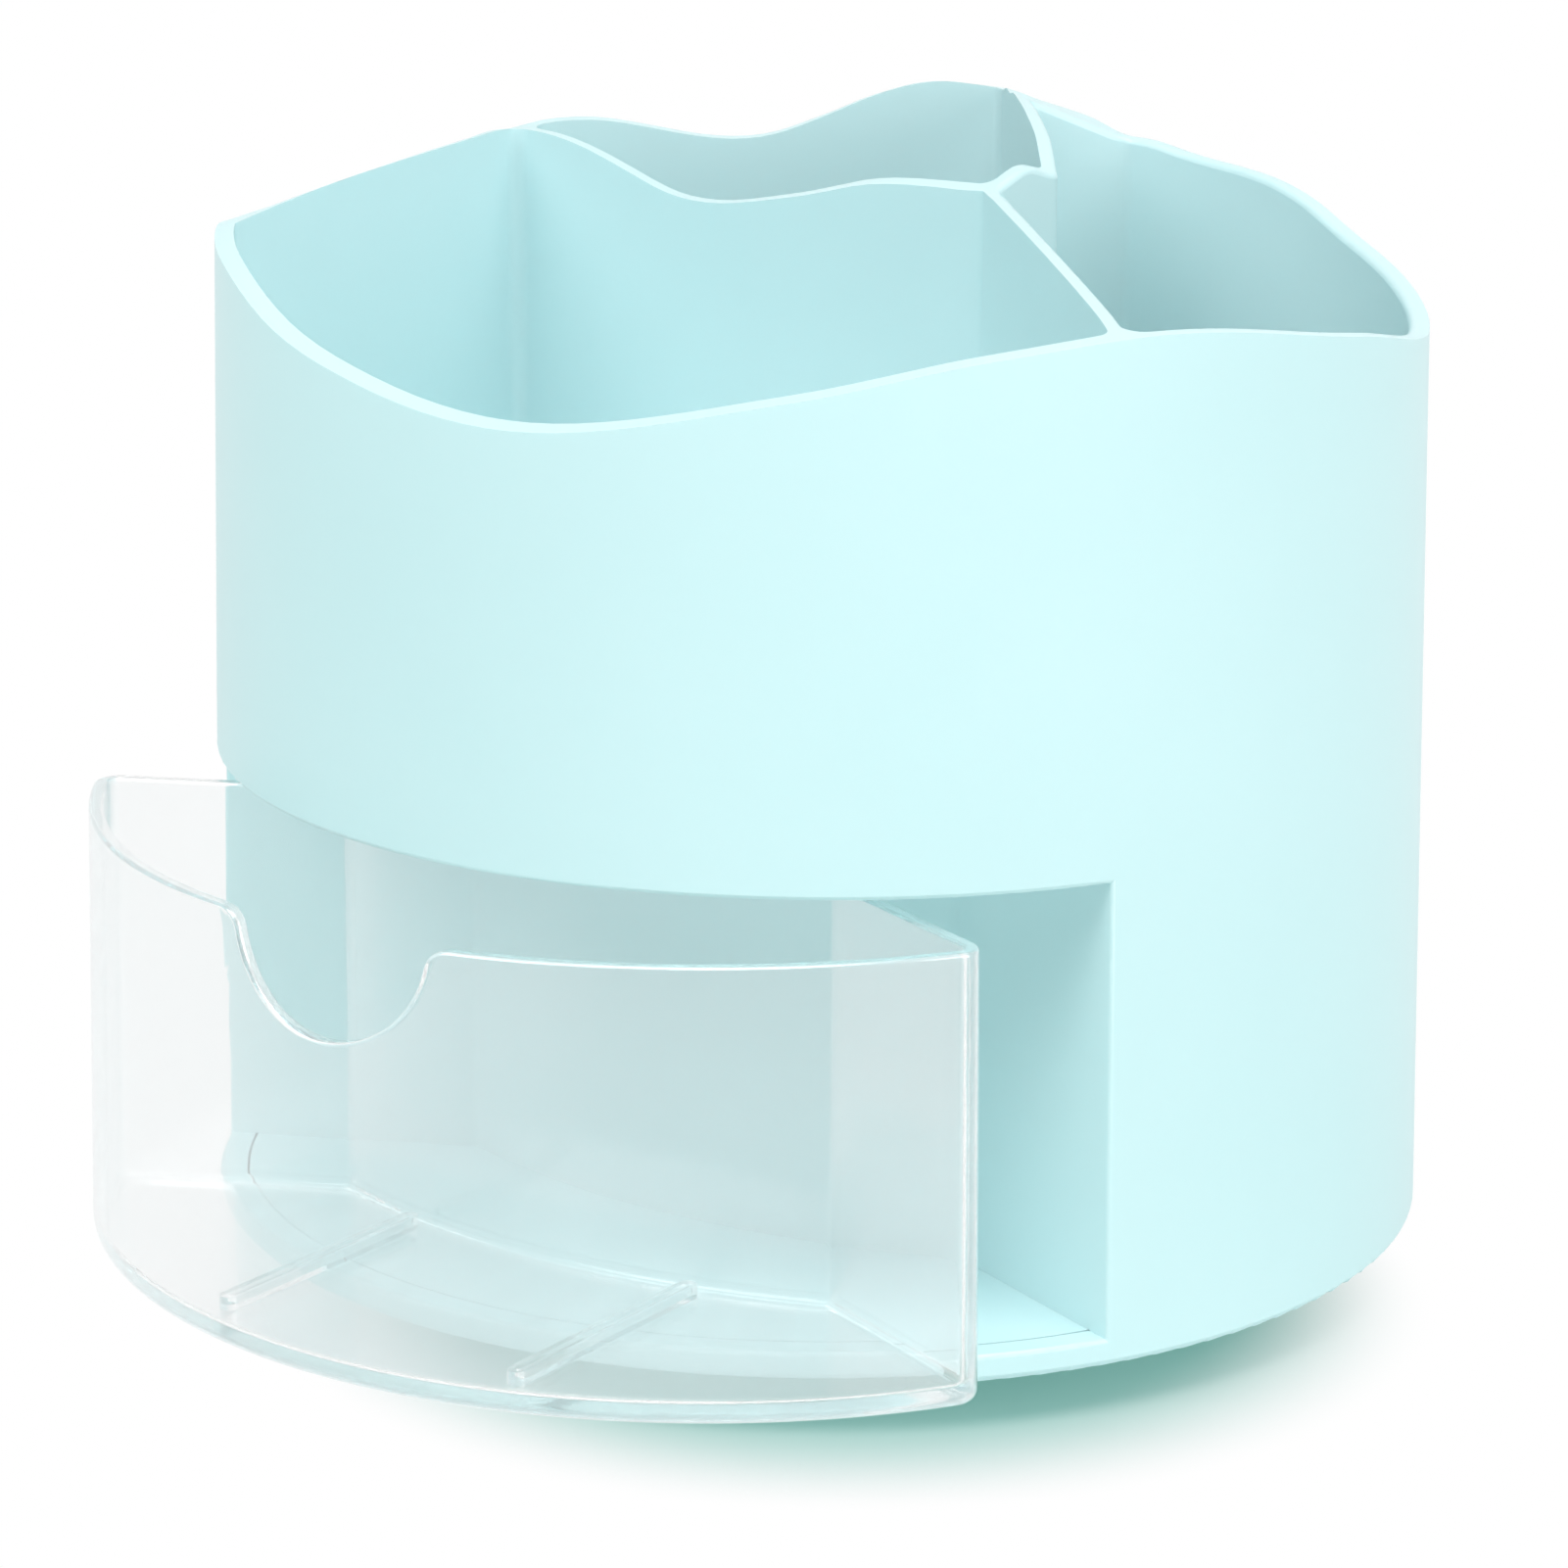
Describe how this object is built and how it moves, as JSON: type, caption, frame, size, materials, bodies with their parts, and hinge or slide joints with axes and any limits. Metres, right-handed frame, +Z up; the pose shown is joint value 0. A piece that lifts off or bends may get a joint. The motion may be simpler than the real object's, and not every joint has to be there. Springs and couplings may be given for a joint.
{
  "type": "rotating desk organizer",
  "caption": "Round desk organizer on a ball-bearing turntable, with open compartments under a wavy rim and a clear slide-out drawer below.",
  "frame": {"origin": "on the turning axis, at the desk surface", "axes": "+Z up along the turning axis; -Y is the front, with the drawer sliding out towards azimuth -124 degrees"},
  "size_m": [0.1653, 0.1718, 0.1366],
  "materials": {
    "mint_plastic": "gloss",
    "clear_plastic": "clear gloss",
    "screw_steel": "zinc plated",
    "base_plastic": "satin",
    "cage_plastic": "satin",
    "ball_steel": "polished",
    "foot_rubber": "matt"
  },
  "bodies": {
    "base": {"turntable_base": "base_plastic", "pivot_washer": "screw_steel", "pivot_screw": "screw_steel", "foot_1": "foot_rubber", "foot_2": "foot_rubber", "foot_3": "foot_rubber", "foot_4": "foot_rubber", "foot_5": "foot_rubber", "foot_6": "foot_rubber"},
    "organizer": {"body": "mint_plastic", "bottom_cover": "mint_plastic", "cover_screws": "screw_steel"},
    "cage": {"ball_cage": "cage_plastic", "bearing_balls": "ball_steel"},
    "drawer": {"drawer": "clear_plastic"}
  },
  "joints": [
    {"name": "spin", "type": "hinge", "parent": "base", "child": "organizer", "pos_m": [0, 0, 0], "axis": [0, 0, 1], "continuous": true},
    {"name": "cage_roll", "type": "hinge", "parent": "base", "child": "cage", "pos_m": [0, 0, 0], "axis": [0, 0, 1], "continuous": true},
    {"name": "drawer_slide", "type": "slide", "parent": "organizer", "child": "drawer", "axis": [-0.5592, -0.829, 0], "range_m": [-0.024, 0.014]}
  ],
  "couplings": [
    {"joint": "cage_roll", "follows": "spin", "ratio": 0.5}
  ]
}
